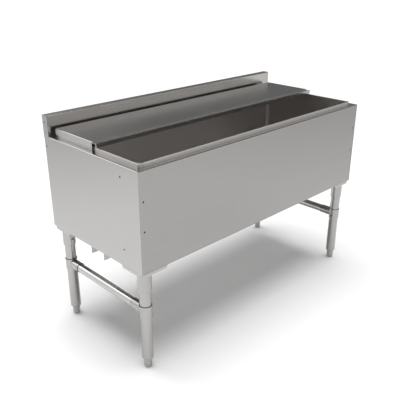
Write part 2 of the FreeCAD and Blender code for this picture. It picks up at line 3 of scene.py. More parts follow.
import logging
import math
from collections.abc import Callable, Iterable, Sequence
from dataclasses import dataclass, field
from enum import Enum

import bpy
from mathutils import Matrix, Vector


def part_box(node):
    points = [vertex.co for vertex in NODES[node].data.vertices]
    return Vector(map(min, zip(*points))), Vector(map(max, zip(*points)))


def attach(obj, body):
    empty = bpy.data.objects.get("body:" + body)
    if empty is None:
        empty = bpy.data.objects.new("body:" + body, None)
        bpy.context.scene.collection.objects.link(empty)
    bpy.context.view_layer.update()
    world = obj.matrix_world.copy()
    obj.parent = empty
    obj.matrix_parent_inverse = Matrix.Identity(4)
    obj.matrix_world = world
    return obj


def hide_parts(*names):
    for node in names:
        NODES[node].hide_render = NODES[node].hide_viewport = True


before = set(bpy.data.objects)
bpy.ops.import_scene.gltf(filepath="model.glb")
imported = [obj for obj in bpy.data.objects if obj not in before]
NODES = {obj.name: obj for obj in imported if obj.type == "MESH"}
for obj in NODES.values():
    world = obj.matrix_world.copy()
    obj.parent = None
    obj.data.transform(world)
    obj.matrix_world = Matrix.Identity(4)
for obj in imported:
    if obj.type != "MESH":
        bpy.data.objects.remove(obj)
LOG = logging.getLogger("ice_bin")
MM = 0.001
MERGE = 1e-6  # metres between doubled vertices
CRISP_ANGLE = 32.0  # degrees
UPWARD = 0.9  # least normal Z of a face that looks up
CREST = (0.4, 0.6)  # a thread's crest, in shares of its pitch
CORNERS = {"fl": (-1, -1), "fr": (1, -1), "rl": (-1, 1), "rr": (1, 1)}


class Grain(Enum):
    """How a surface is brushed: the pattern's repeats per metre along X, Y and Z."""

    LENGTH = (5.0, 520.0, 520.0)
    DEPTH = (520.0, 5.0, 520.0)
    UPRIGHT = (520.0, 520.0, 6.0)
    TURNED = (14.0, 14.0, 900.0)
    EVEN = (260.0, 260.0, 260.0)


# --- node trees ---
@dataclass
class Bench:
    """A node tree under construction."""

    tree: bpy.types.NodeTree

    def add(self, kind: str, **settings: object) -> bpy.types.Node:
        """Put a node in the tree.

        Args:
            kind: The node's type name.
            **settings: Properties to set on it.

        Returns:
            The new node.
        """
        node = self.tree.nodes.new(kind)
        for key, value in settings.items():
            setattr(node, key, value)
        return node

    def link(self, start: bpy.types.NodeSocket, end: bpy.types.NodeSocket) -> None:
        """Join an output to an input."""
        self.tree.links.new(start, end)

    def math(self, operation: str, *terms: bpy.types.NodeSocket | float) -> bpy.types.NodeSocket:
        """Add a Math node.

        Args:
            operation: What the node works out.
            *terms: Its inputs, sockets or numbers.

        Returns:
            The node's output.
        """
        node = self.add("ShaderNodeMath", operation=operation)
        for place, term in zip(node.inputs, terms):
            if isinstance(term, bpy.types.NodeSocket):
                self.link(term, place)
            else:
                place.default_value = term
        return node.outputs[0]

    def spread(self, value: bpy.types.NodeSocket, low: float, high: float,
               to_low: float = 0.0, to_high: float = 1.0) -> bpy.types.NodeSocket:
        """Carry one range of values to another, with its ends held.

        Args:
            value: The varying input.
            low: Input at the range's start.
            high: Input at the range's end.
            to_low: Output at the start.
            to_high: Output at the end.

        Returns:
            The new value.
        """
        node = self.add("ShaderNodeMapRange")
        self.link(value, node.inputs["Value"])
        limits = {"From Min": low, "From Max": high, "To Min": to_low, "To Max": to_high}
        for name, number in limits.items():
            node.inputs[name].default_value = number
        return node.outputs["Result"]

    def mix(self, factor: bpy.types.NodeSocket, first: object, second: object) -> bpy.types.NodeSocket:
        """Mix two colours.

        Args:
            factor: The share of the second one.
            first: A socket or a colour.
            second: A socket or a colour.

        Returns:
            The mixed colour.
        """
        node = self.add("ShaderNodeMix", data_type="RGBA")
        self.link(factor, node.inputs["Factor"])
        for label, term in (("A", first), ("B", second)):
            place = next(s for s in node.inputs if s.name == label and s.type == "RGBA")
            if isinstance(term, bpy.types.NodeSocket):
                self.link(term, place)
            else:
                place.default_value = (*term, 1.0)
        return next(s for s in node.outputs if s.type == "RGBA")


class Effects:
    """Node groups that several finishes share, each built once."""

    FINE_NOISE = {"Scale": 1.0, "Detail": 3.0, "Roughness": 0.65}
    BROAD_NOISE = {"Scale": 1.0, "Detail": 2.0, "Roughness": 0.5}
    BROAD_SHARE = 0.16
    CLOUD_NOISE = {"Detail": 4.0, "Distortion": 0.6}
    CLOUD_RANGE = (0.38, 0.66)
    EDGE_TURN = (0.995, 0.86)
    CHIP_NOISE = {"Scale": 90.0}
    CHIP_RANGE = (0.35, 0.6, 0.35, 1.0)

    _made: dict[str, bpy.types.NodeTree] = {}

    @classmethod
    def place(cls, bench: Bench, name: str, **values: object) -> bpy.types.Node:
        """Put a shared effect in a material.

        Args:
            bench: The material's tree.
            name: The effect's method, which also names its group.
            **values: Its inputs, with spaces in their names written as underscores.

        Returns:
            The group node.
        """
        if name not in cls._made:
            cls._made[name] = getattr(cls, name)()
        node = bench.add("ShaderNodeGroup", node_tree=cls._made[name])
        for key, value in values.items():
            socket = node.inputs[key.replace("_", " ").capitalize()]
            if isinstance(value, bpy.types.NodeSocket):
                bench.link(value, socket)
            else:
                socket.default_value = value
        return node

    @staticmethod
    def _open(name: str, inputs: dict[str, str], outputs: dict[str, str]
              ) -> tuple[Bench, bpy.types.Node, bpy.types.Node]:
        """Start a group.

        Args:
            name: The group's name.
            inputs: Names and kinds of its inputs.
            outputs: Names and kinds of its outputs.

        Returns:
            Its bench, its input node and its output node.
        """
        tree = bpy.data.node_groups.new(name, "ShaderNodeTree")
        for way, sockets in (("INPUT", inputs), ("OUTPUT", outputs)):
            for label, kind in sockets.items():
                tree.interface.new_socket(label, in_out=way, socket_type="NodeSocket" + kind)
        bench = Bench(tree)
        return bench, bench.add("NodeGroupInput"), bench.add("NodeGroupOutput")

    @staticmethod
    def _noise(bench: Bench, place: bpy.types.NodeSocket, settings: dict[str, float]) -> bpy.types.Node:
        """Put a noise in a group.

        Args:
            bench: The group's bench.
            place: Where the noise is read.
            settings: Its numbers.

        Returns:
            The noise node.
        """
        noise = bench.add("ShaderNodeTexNoise")
        bench.link(place, noise.inputs["Vector"])
        for name, number in settings.items():
            noise.inputs[name].default_value = number
        return noise

    @classmethod
    def brushing(cls) -> bpy.types.NodeTree:
        """Fine and broad brush lines, stretched along the grain.

        Returns:
            The group.
        """
        bench, given, put = cls._open("brushing", {"Place": "Vector", "Repeats": "Vector"},
                                      {"Line": "Float", "Streak": "Float"})
        fine = bench.add("ShaderNodeMapping")
        bench.link(given.outputs["Place"], fine.inputs["Vector"])
        bench.link(given.outputs["Repeats"], fine.inputs["Scale"])
        lines = cls._noise(bench, fine.outputs["Vector"], cls.FINE_NOISE)
        broad = bench.add("ShaderNodeVectorMath", operation="SCALE")
        bench.link(fine.outputs["Vector"], broad.inputs["Vector"])
        broad.inputs["Scale"].default_value = cls.BROAD_SHARE
        streaks = cls._noise(bench, broad.outputs["Vector"], cls.BROAD_NOISE)
        bench.link(lines.outputs["Fac"], put.inputs["Line"])
        bench.link(streaks.outputs["Fac"], put.inputs["Streak"])
        return bench.tree

    @classmethod
    def handling(cls) -> bpy.types.NodeTree:
        """Soft cloudy patches where a surface was wiped and touched.

        Returns:
            The group.
        """
        bench, given, put = cls._open("handling", {"Place": "Vector", "Size": "Float"}, {"Patch": "Float"})
        clouds = cls._noise(bench, given.outputs["Place"], cls.CLOUD_NOISE)
        bench.link(given.outputs["Size"], clouds.inputs["Scale"])
        bench.link(bench.spread(clouds.outputs["Fac"], *cls.CLOUD_RANGE), put.inputs["Patch"])
        return bench.tree

    @classmethod
    def edge_wear(cls) -> bpy.types.NodeTree:
        """A mask along edges and folds, broken up by noise.

        Returns:
            The group.
        """
        bench, given, put = cls._open("edge wear", {"Place": "Vector", "Width": "Float"}, {"Mask": "Float"})
        rounded = bench.add("ShaderNodeBevel", samples=4)
        bench.link(given.outputs["Width"], rounded.inputs["Radius"])
        plain = bench.add("ShaderNodeNewGeometry")
        turn = bench.add("ShaderNodeVectorMath", operation="DOT_PRODUCT")
        bench.link(rounded.outputs["Normal"], turn.inputs[0])
        bench.link(plain.outputs["Normal"], turn.inputs[1])
        edge = bench.spread(turn.outputs["Value"], *cls.EDGE_TURN)
        chips = cls._noise(bench, given.outputs["Place"], cls.CHIP_NOISE)
        broken = bench.spread(chips.outputs["Fac"], *cls.CHIP_RANGE)
        bench.link(bench.math("MULTIPLY", edge, broken), put.inputs["Mask"])
        return bench.tree


# --- finishes ---
@dataclass(frozen=True)
class Steel:
    """Brushed or turned metal.

    The contrast is the share by which a brush line is darker or lighter. Faces that look upwards have
    the colour times top, a painted highlight on upward faces.
    """

    name: str
    colour: tuple[float, float, float]
    roughness: float
    grain: Grain
    contrast: float = 0.03
    depth: float = 0.03
    wear: float = 0.35
    patch: float = 7.0
    top: float = 1.0
    painted_top_light_range: tuple[float, float] = (0.7, 0.95)
    line_share: float = 0.45
    tone_range: tuple[float, float] = (0.3, 0.7)
    gloss_swing: float = 0.035
    touched_dulling: float = 0.045
    worn_polish: float = 0.12
    worn_lift: float = 1.22
    edge_width: float = 0.0016
    bump_height: float = 0.0004

    def material(self) -> bpy.types.Material:
        """Build the material.

        Returns:
            A procedural metal whose tone, gloss and bump follow the grain.
        """
        label = self.name + "_" + self.grain.name.lower()
        made = bpy.data.materials.get(label)
        if made:
            return made
        made, bench, shader = open_material(label)
        place = bench.add("ShaderNodeTexCoord").outputs["Object"]
        brushed = Effects.place(bench, "brushing", place=place, repeats=self.grain.value)
        touched = Effects.place(bench, "handling", place=place, size=self.patch)
        worn = Effects.place(bench, "edge_wear", place=place, width=self.edge_width)
        tone = bench.math("ADD", bench.math("MULTIPLY", brushed.outputs["Line"], self.line_share),
                          bench.math("MULTIPLY", brushed.outputs["Streak"], 1.0 - self.line_share))
        wear = bench.math("MULTIPLY", worn.outputs["Mask"], self.wear)
        base = bench.mix(bench.spread(tone, *self.tone_range), self.tinted(1.0 - self.contrast),
                         self.tinted(1.0 + self.contrast))
        # Painted highlight: faces that look upwards get the colour times top.
        if self.top != 1.0:
            facing = bench.add("ShaderNodeSeparateXYZ")
            bench.link(bench.add("ShaderNodeTexCoord").outputs["Normal"], facing.inputs["Vector"])
            upward = bench.spread(facing.outputs["Z"], *self.painted_top_light_range)
            base = bench.mix(upward, base, self.tinted(self.top))
        bench.link(bench.mix(wear, base, self.tinted(self.worn_lift)), shader.inputs["Base Color"])
        gloss = bench.spread(tone, *self.tone_range, self.roughness - self.gloss_swing,
                             self.roughness + self.gloss_swing)
        dulling = bench.math("MULTIPLY", touched.outputs["Patch"], self.touched_dulling)
        polish = bench.math("MULTIPLY", wear, self.worn_polish)
        gloss = bench.math("SUBTRACT", bench.math("ADD", gloss, dulling), polish)
        bench.link(gloss, shader.inputs["Roughness"])
        shader.inputs["Metallic"].default_value = 1.0
        emboss(bench, shader, tone, self.depth, self.bump_height)
        return made

    def tinted(self, share: float) -> tuple[float, ...]:
        """The metal's colour times a share, held at white."""
        return tuple(min(1.0, c * share) for c in self.colour)


@dataclass(frozen=True)
class Moulded:
    """Plastic, rubber or foam with a fine even skin."""

    name: str
    colour: tuple[float, float, float]
    roughness: float
    cells: float
    depth: float
    patch: float = 30.0
    touched_share: float = 0.25
    touched_dulling: float = 0.08
    worn_share: float = 0.5
    pale_lift: float = 0.02
    pale_share: float = 1.5
    edge_width: float = 0.0008
    bump_height: float = 0.0005

    def material(self) -> bpy.types.Material:
        """Build the material.

        Returns:
            A procedural skin with cells, cloudy wear and pale edges.
        """
        made = bpy.data.materials.get(self.name)
        if made:
            return made
        made, bench, shader = open_material(self.name)
        place = bench.add("ShaderNodeTexCoord").outputs["Object"]
        cells = bench.add("ShaderNodeTexVoronoi")
        bench.link(place, cells.inputs["Vector"])
        cells.inputs["Scale"].default_value = self.cells
        touched = Effects.place(bench, "handling", place=place, size=self.patch)
        worn = Effects.place(bench, "edge_wear", place=place, width=self.edge_width)
        pale = tuple(min(1.0, c * self.pale_share + self.pale_lift) for c in self.colour)
        wiped = bench.math("MULTIPLY", touched.outputs["Patch"], self.touched_share)
        rubbed = bench.math("MULTIPLY", worn.outputs["Mask"], self.worn_share)
        base = bench.mix(wiped, self.colour, pale)
        bench.link(bench.mix(rubbed, base, pale), shader.inputs["Base Color"])
        gloss = bench.spread(touched.outputs["Patch"], 0.0, 1.0, self.roughness,
                             self.roughness + self.touched_dulling)
        bench.link(gloss, shader.inputs["Roughness"])
        emboss(bench, shader, cells.outputs["Distance"], self.depth, self.bump_height)
        return made


def open_material(name: str) -> tuple[bpy.types.Material, Bench, bpy.types.Node]:
    """Start a material with a plain shader.

    Args:
        name: The material's name.

    Returns:
        The material, its bench and its Principled shader.
    """
    made = bpy.data.materials.new(name)
    made.use_nodes = True
    bench = Bench(made.node_tree)
    return made, bench, made.node_tree.nodes["Principled BSDF"]


def emboss(bench: Bench, shader: bpy.types.Node, height: bpy.types.NodeSocket, strength: float,
           distance: float) -> None:
    """Raise a shader's surface by a pattern.

    Args:
        bench: The material's tree.
        shader: The shader.
        height: The pattern.
        strength: How much of the pattern shows.
        distance: Its height in metres.
    """
    bump = bench.add("ShaderNodeBump")
    bump.inputs["Strength"].default_value = strength
    bump.inputs["Distance"].default_value = distance
    bench.link(height, bump.inputs["Height"])
    bench.link(bump.outputs["Normal"], shader.inputs["Normal"])


# Painted light and shade: one cabinet steel in two colours, darker on the front, back and bottom sheets
# than on the end panels; top=1.7 adds a painted highlight on their upward faces.
PANEL_LENGTH_PAINTED_SHADE = Steel("cabinet_steel", (0.362, 0.351, 0.342), 0.21, Grain.LENGTH, top=1.7)
PANEL_DEPTH_PAINTED_LIGHT = Steel("cabinet_steel", (0.440, 0.434, 0.426), 0.21, Grain.DEPTH)
SPLASH_STEEL = Steel("splash_steel", (0.592, 0.573, 0.554), 0.19, Grain.LENGTH, contrast=0.02)
# Painted light and shade: one bin steel in two colours, lighter on the sides and base, darker on the ends.
BIN_LENGTH_PAINTED_LIGHT = Steel("bin_steel", (0.66, 0.64, 0.62), 0.34, Grain.LENGTH)
BIN_DEPTH_PAINTED_SHADE = Steel("bin_steel", (0.56, 0.545, 0.528), 0.34, Grain.DEPTH)
COVER_STEEL = Steel("cover_steel", (0.49, 0.48, 0.47), 0.21, Grain.LENGTH)
MILL_STEEL = Steel("frame_steel", (0.48, 0.47, 0.46), 0.34, Grain.EVEN, contrast=0.08)
MILL_LENGTH = Steel("frame_steel", (0.48, 0.47, 0.46), 0.34, Grain.LENGTH, contrast=0.08)
TUBE_UPRIGHT = Steel("tube_steel", (0.42, 0.412, 0.402), 0.20, Grain.UPRIGHT)
TUBE_DEPTH = Steel("tube_steel", (0.50, 0.497, 0.492), 0.13, Grain.DEPTH)
TURNED_STEEL = Steel("foot_steel", (0.40, 0.392, 0.384), 0.25, Grain.TURNED, depth=0.2)
SCREW_STEEL = Steel("screw_steel", (0.50, 0.505, 0.51), 0.30, Grain.TURNED, depth=0.15)
PLATED = Steel("drain_plating", (0.62, 0.62, 0.61), 0.18, Grain.TURNED)
WELD_STEEL = Steel("weld_steel", (0.42, 0.41, 0.40), 0.42, Grain.EVEN, contrast=0.2, depth=0.5)
GLIDE_PLASTIC = Moulded("glide_plastic", (0.012, 0.012, 0.013), 0.48, 900.0, 0.12)
# Black oxide for the set screws; on the clinch nuts it is painted shade in the holes.
BLACK_OXIDE_AND_HOLE_SHADE = Moulded("black_oxide", (0.010, 0.010, 0.011), 0.50, 700.0, 0.10)
# Rubber for the drain gasket; on the tee rings it is also painted shade in the joint's gap.
SEAL_RUBBER_AND_JOINT_SHADE = Moulded("seal_rubber", (0.03, 0.03, 0.031), 0.62, 1500.0, 0.2)
RIGID_FOAM = Moulded("rigid_foam", (0.80, 0.72, 0.50), 0.85, 420.0, 0.5)


def dress(finish: Steel | Moulded, *names: str) -> None:
    """Give solid nodes a finish.

    Args:
        finish: The finish they take.
        *names: The nodes.
    """
    for name in names:
        for place in NODES[name].material_slots:
            place.material = finish.material()


# --- hand tools ---
def rest() -> None:
    """Leave edit mode and drop every selection."""
    if bpy.context.object and bpy.context.object.mode != "OBJECT":
        bpy.ops.object.mode_set(mode="OBJECT")
    bpy.ops.object.select_all(action="DESELECT")


def finish_piece(piece: bpy.types.Object, name: str, angle: float = CRISP_ANGLE) -> bpy.types.Object:
    """Name a piece, settle its place in its mesh and smooth it.

    Args:
        piece: The piece.
        name: Its name.
        angle: Edges sharper than this, in degrees, stay crisp.

    Returns:
        The same piece.
    """
    rest()
    bpy.context.view_layer.objects.active = piece
    piece.select_set(True)
    bpy.ops.object.transform_apply(location=True, rotation=True, scale=True)
    bpy.ops.object.mode_set(mode="EDIT")
    bpy.ops.mesh.select_all(action="SELECT")
    bpy.ops.mesh.remove_doubles(threshold=MERGE)
    bpy.ops.mesh.normals_make_consistent(inside=False)
    bpy.ops.object.mode_set(mode="OBJECT")
    bpy.ops.object.shade_smooth_by_angle(angle=math.radians(angle))
    piece.name = piece.data.name = name
    rest()
    return piece


def turned(name: str, outline: Sequence[tuple[float, float]], sides: int, hollow: bool = False
           ) -> bpy.types.Object:
    """Turn a piece about the upright axis, ring by ring.

    Args:
        name: The piece's name.
        outline: Radius and height of each ring in millimetres, upwards on the outside.
        sides: Faces round the piece.
        hollow: True when the outline closes on itself round a bore.

    Returns:
        The finished piece, on the world's axis.
    """
    rest()
    radius, height = outline[0]
    bpy.ops.mesh.primitive_circle_add(vertices=sides, radius=radius * MM, location=(0, 0, height * MM),
                                      fill_type="NOTHING" if hollow else "NGON")
    piece = bpy.context.object
    bpy.ops.object.transform_apply(location=True)
    bpy.ops.object.mode_set(mode="EDIT")
    bpy.ops.mesh.select_all(action="SELECT")
    for next_radius, next_height in outline[1:]:
        bpy.ops.mesh.extrude_region_move(
            TRANSFORM_OT_translate={"value": (0.0, 0.0, (next_height - height) * MM)})
        share = next_radius / radius
        bpy.ops.transform.resize(value=(share, share, 1.0), center_override=(0.0, 0.0, next_height * MM))
        radius, height = next_radius, next_height
    return finish_piece(piece, name)


def select_faces(piece: bpy.types.Object, test: Callable[[bpy.types.MeshPolygon], bool]) -> None:
    """Select faces by a test, and return to edit mode.

    Args:
        piece: The piece in edit mode.
        test: True for a face to select.
    """
    bpy.ops.object.mode_set(mode="OBJECT")
    for part in (piece.data.vertices, piece.data.edges, piece.data.polygons):
        for item in part:
            item.select = False
    for face in piece.data.polygons:
        face.select = test(face)
    bpy.ops.object.mode_set(mode="EDIT")
    bpy.ops.mesh.select_mode(type="FACE")


def set_copy(pattern: bpy.types.Object, name: str, place: Matrix) -> bpy.types.Object:
    """Set a copy of a piece, with its own mesh.

    Args:
        pattern: The piece to copy.
        name: The copy's name.
        place: Where it goes.

    Returns:
        The copy.
    """
    copy = pattern.copy()
    copy.data = pattern.data.copy()
    bpy.context.scene.collection.objects.link(copy)
    copy.matrix_world = place
    bpy.context.view_layer.update()
    return finish_piece(copy, name)


def discard(pattern: bpy.types.Object) -> None:
    """Remove a pattern once its copies are set.

    Args:
        pattern: The pattern.
    """
    mesh = pattern.data
    bpy.data.objects.remove(pattern)
    bpy.data.meshes.remove(mesh)


def fit(piece: bpy.types.Object, body: str, slot: str, finish: Steel | Moulded, *nodes: str
        ) -> bpy.types.Object:
    """Give a piece its finish, its body and the nodes that it stands for.

    Args:
        piece: The piece.
        body: The body that carries it.
        slot: The material slot in the record; not used.
        finish: Its finish.
        *nodes: Solid nodes that it replaces.

    Returns:
        The same piece.
    """
    piece.data.materials.clear()
    piece.data.materials.append(finish.material())
    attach(piece, body)
    if nodes:
        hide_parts(*nodes)
    return piece


def axis_of(node: str) -> tuple[float, float]:
    """Middle of a round node in plan.

    Args:
        node: The node's name.

    Returns:
        X and Y in metres.
    """
    low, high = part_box(node)
    return (low.x + high.x) / 2, (low.y + high.y) / 2


def threaded(start: float, end: float, crest: float, root: float, pitch: float
             ) -> list[tuple[float, float]]:
    """Rings of a threaded length.

    Args:
        start: Lower end in millimetres.
        end: Upper end.
        crest: Outer radius.
        root: Radius at the bottom of the grooves.
        pitch: From crest to crest.

    Returns:
        Radius and height of each ring.
    """
    count = int((end - start) / pitch)
    rings = []
    for turn in range(count):
        low = start + turn * pitch
        rings += [(root, low)] + [(crest, low + share * pitch) for share in CREST]
    return rings + [(root, start + count * pitch)]


# --- sub-assemblies ---
@dataclass
class Cabinet:
    """Outer sheets, their insulation and the channel below, in millimetres.

    Each clinch nut seats on the sheet's inner face, with its shank in the hole. Holes are placed from
    the end panels' edges and the apron's lower edge.
    """

    nut_bore: float = 2.7
    nut_shank: float = 3.18
    nut_outer: float = 4.6
    nut_flange: float = 6.2
    nut_flange_height: float = 1.0
    nut_shoulder: float = 1.3
    nut_length: float = 11.0
    nut_well: float = 1.5
    nut_sides: int = 28
    seat: float = 1.25
    shank_inset: float = 0.1
    rail_inset: float = 17.5
    rail_rises: tuple[float, float] = (152.4, 254.0)
    join_front: float = 88.9
    join_front_rises: tuple[float, float] = (63.5, 317.5)
    join_rear: float = 12.7
    join_rear_drops: tuple[float, float] = (114.3, 25.4)

    def build(self) -> list[bpy.types.Object]:
        """Set a blind clinch nut behind each hole for a bottle rail or a neighbouring unit. The nuts are
        near black, painted shade that makes each hole a dark dot.

        Returns:
            The nuts.
        """
        reach = self.shank_inset - self.seat
        outline = [(self.nut_bore, self.nut_length - self.nut_well), (self.nut_bore, reach),
                   (self.nut_shank, reach), (self.nut_shank, 0.0), (self.nut_flange, 0.0),
                   (self.nut_flange, self.nut_flange_height), (self.nut_outer, self.nut_shoulder),
                   (self.nut_outer, self.nut_length)]
        pattern = turned("nut", outline, self.nut_sides)
        made = []
        for side, turn in ((-1, 90), (1, -90)):
            letter = "l" if side < 0 else "r"
            for row, (x, y, z) in enumerate(self.rail_places(side), 1):
                place = Matrix.Translation((x, y, z)) @ Matrix.Rotation(math.radians(-90), 4, "X")
                made.append(set_copy(pattern, f"apron_nut_{letter}{row}", place))
            for row, (x, y, z) in enumerate(self.join_places(side), 1):
                place = Matrix.Translation((x, y, z)) @ Matrix.Rotation(math.radians(turn), 4, "Y")
                made.append(set_copy(pattern, f"end_nut_{letter}{row}", place))
        discard(pattern)
        # Painted shade: near-black nuts make each hole read as a dark dot.
        return [fit(piece, "cabinet", "frame_steel", BLACK_OXIDE_AND_HOLE_SHADE) for piece in made]

    def rail_places(self, side: int) -> list[tuple[float, float, float]]:
        """Places behind the apron's two holes at one end.

        Args:
            side: Minus one for the left end, one for the right.

        Returns:
            Places in metres.
        """
        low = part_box("front_panel")[0]
        x = side * (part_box("right_end_panel")[1].x - self.rail_inset * MM)
        return [(x, low.y + self.seat * MM, low.z + rise * MM) for rise in self.rail_rises]

    def join_places(self, side: int) -> list[tuple[float, float, float]]:
        """Places behind the four holes of one end panel.

        Args:
            side: Minus one for the left end, one for the right.

        Returns:
            Places in metres.
        """
        low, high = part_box("right_end_panel")
        x = side * (high.x - self.seat * MM)
        front_y, rear_y = low.y + self.join_front * MM, high.y - self.join_rear * MM
        front = [(x, front_y, low.z + rise * MM) for rise in self.join_front_rises]
        return front + [(x, rear_y, high.z - drop * MM) for drop in self.join_rear_drops]

    def finish(self) -> None:
        """Dress the sheets, the insulation and the channel."""
        # Painted shade on the front, back and bottom sheets and painted light on the end panels, by their
        # two colours.
        dress(PANEL_LENGTH_PAINTED_SHADE, "front_panel", "back_panel", "bottom_pan")
        dress(SPLASH_STEEL, "backsplash")
        dress(PANEL_DEPTH_PAINTED_LIGHT, "left_end_panel", "right_end_panel")
        dress(MILL_LENGTH, "under_channel")
        dress(RIGID_FOAM, "foam_front", "foam_rear", "foam_left", "foam_right", "foam_floor")


@dataclass
class IceBin:
    """The coved bin and its drain.

    Sizes of the drain's pipe nipple are in millimetres, with heights from its lower end.
    """

    thread: tuple[float, float] = (0.8, 25.6)
    thread_depth: float = 1.2
    pitch: float = 2.2
    thread_end: float = 27.0
    shoulder: float = 43.0
    wall: float = 3.4
    neck_step: float = 0.4
    neck_edge: float = 0.3
    mouth_edge: float = 0.6
    sides: int = 44

    def build(self) -> list[bpy.types.Object]:
        """Cut the thread on the drain's pipe nipple.

        Returns:
            The nipple.
        """
        low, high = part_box("drain_nipple")
        crest, top = (high.x - low.x) / 2 / MM, (high.z - low.z) / MM
        bore, neck, root = crest - self.wall, crest - self.neck_step, crest - self.thread_depth
        outline = [(bore + self.mouth_edge, 0.0), (root, 0.0)]
        outline += threaded(*self.thread, crest, root, self.pitch)
        outline += [(crest, self.thread_end), (crest, self.shoulder), (neck, self.shoulder),
                    (neck, top - self.neck_edge), (neck - self.neck_edge, top), (bore, top),
                    (bore, self.mouth_edge), (bore + self.mouth_edge, 0.0)]
        pattern = turned("nipple", outline, self.sides, hollow=True)
        x, y = axis_of("drain_nipple")
        piece = set_copy(pattern, "threaded_nipple", Matrix.Translation((x, y, low.z)))
        discard(pattern)
        return [fit(piece, "cabinet", "drain_brass", PLATED, "drain_nipple")]

    def finish(self) -> None:
        """Dress the bin's sheets and the drain's parts."""
        # Painted light on the sides and base and painted shade on the ends, by their two colours.
        dress(BIN_LENGTH_PAINTED_LIGHT, "bin_base", "bin_front_side", "bin_rear_side")
        dress(BIN_DEPTH_PAINTED_SHADE, "bin_left_end", "bin_right_end")
        dress(PLATED, "drain_body", "drain_locknut")
        dress(TURNED_STEEL, "drain_strainer")
        dress(SEAL_RUBBER_AND_JOINT_SHADE, "drain_gasket")


